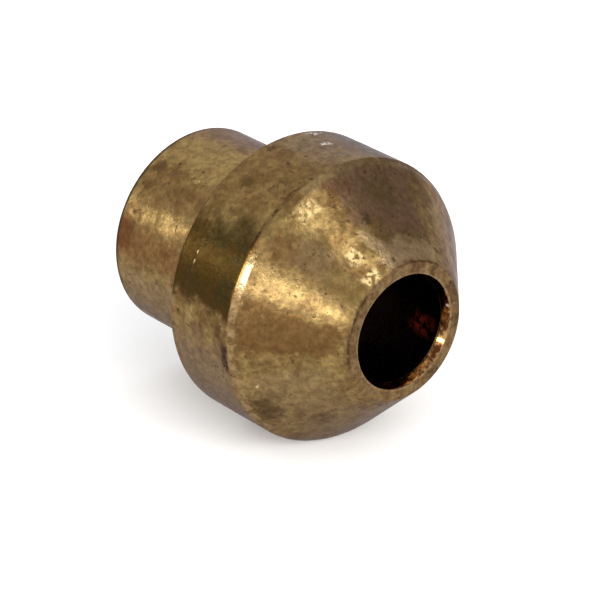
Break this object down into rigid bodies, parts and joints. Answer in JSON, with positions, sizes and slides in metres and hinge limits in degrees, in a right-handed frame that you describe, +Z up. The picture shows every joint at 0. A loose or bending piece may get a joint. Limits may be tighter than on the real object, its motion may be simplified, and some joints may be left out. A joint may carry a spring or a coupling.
{
  "type": "oil burner nozzle",
  "caption": "Turned brass oil burner nozzle: a cone nose with an open mouth, a wider collar behind it and a narrower tail that takes the oil pipe.",
  "frame": {"origin": "on the turning axis, halfway between the nose face and the tail end face, which is the centre of the part's bounding box", "axes": "+X along the turning axis towards the nose, +Z up with the part lying on its collar, +Y completes the right-handed frame"},
  "size_m": [0.0122, 0.0112, 0.0112],
  "materials": {
    "tarnished_brass": "turned, handled and lightly tarnished brass, satin with brown mottling, fine nicks and speckles"
  },
  "bodies": {
    "root": {"nozzle_body": "tarnished_brass"}
  },
  "joints": []
}
